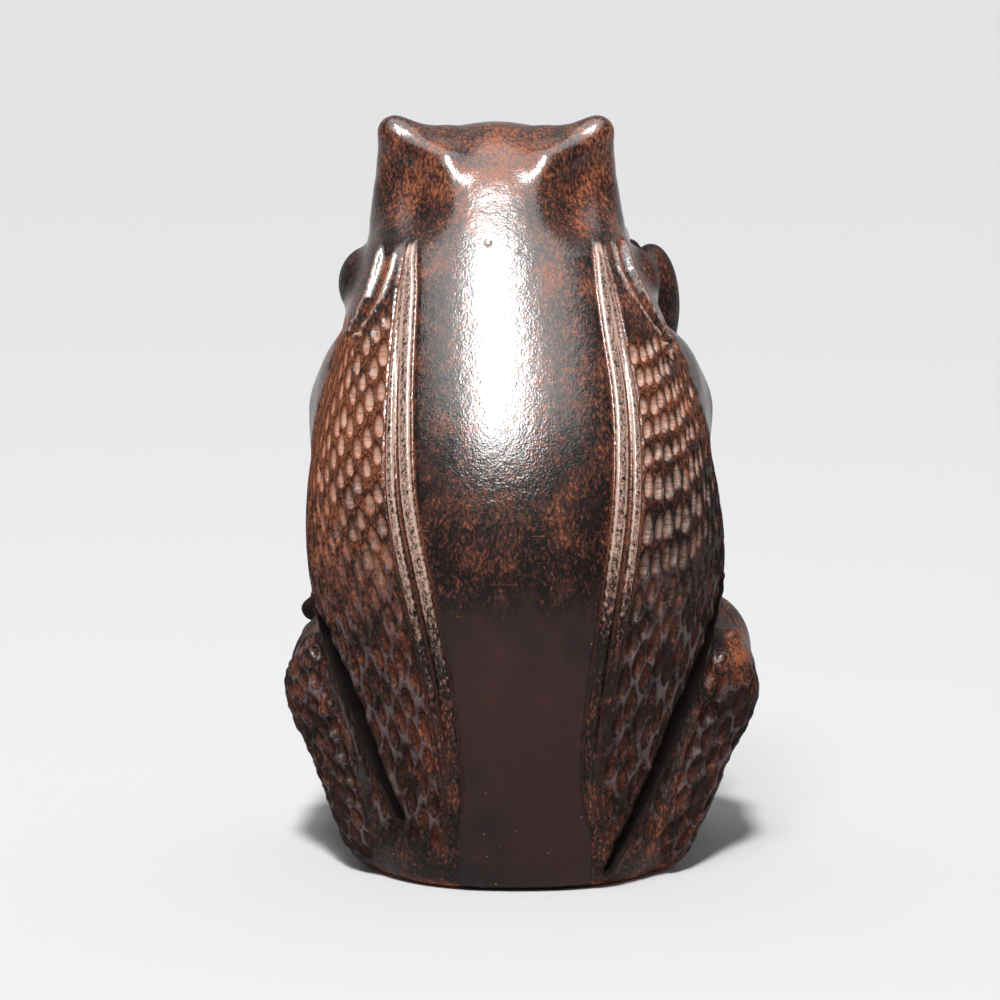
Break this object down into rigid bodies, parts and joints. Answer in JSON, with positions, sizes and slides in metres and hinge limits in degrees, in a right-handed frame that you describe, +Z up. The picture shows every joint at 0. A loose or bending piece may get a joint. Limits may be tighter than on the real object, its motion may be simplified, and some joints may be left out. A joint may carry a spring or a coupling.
{
  "type": "carved toad figurine",
  "caption": "Seated toad figurine carved from one block of dark hardwood, with a smooth back between corded, gouge-textured flanks, inlaid eyes and a felt base pad.",
  "frame": {"origin": "centre of the footprint, on the underside of the felt pad, which is the plane the figurine stands on", "axes": "+Z up, the toad faces +Y, its carved back is on -Y and its own right hand is on +X"},
  "size_m": [0.088, 0.082, 0.1388],
  "materials": {
    "wood": "black-brown waxed patina worn to orange-brown, semi-gloss",
    "horn": "polished amber horn",
    "jet": "polished black",
    "felt": "matte felt"
  },
  "bodies": {
    "root": {"carved_body": "wood", "left_eye_bead": "horn", "right_eye_bead": "horn", "left_pupil": "jet", "right_pupil": "jet", "felt_pad": "felt"}
  },
  "joints": []
}
